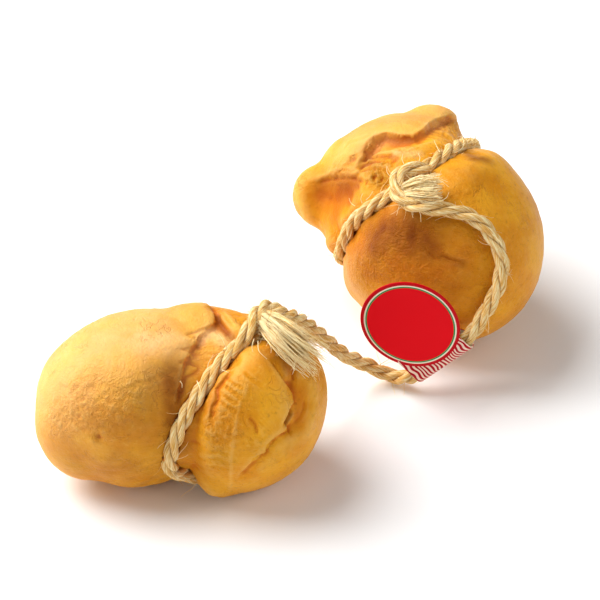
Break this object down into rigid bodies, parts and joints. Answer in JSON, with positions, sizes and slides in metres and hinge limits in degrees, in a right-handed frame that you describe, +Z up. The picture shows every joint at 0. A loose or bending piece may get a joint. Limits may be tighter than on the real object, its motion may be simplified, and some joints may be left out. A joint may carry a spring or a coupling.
{
  "type": "scamorza",
  "caption": "Smoked scamorza cheeses with tied necks, joined by a length of sisal twine that carries a folded oval label.",
  "frame": {"origin": "on the table, under the middle of the box round the tied cheeses", "axes": "+Z up from the table; the pair is seen from -Y; +X from the left cheese to the right one"},
  "size_m": [0.1881, 0.1746, 0.0847],
  "materials": {
    "smoked_skin": "smoked cheese skin, waxy and satin",
    "sisal_twine": "hairy natural fibre",
    "printed_card": "coated print, satin"
  },
  "bodies": {
    "root": {"scamorza_left": "smoked_skin", "scamorza_right": "smoked_skin", "twine_left": "sisal_twine", "twine_right": "sisal_twine", "twine_link": "sisal_twine", "label_tag": "printed_card"}
  },
  "joints": []
}
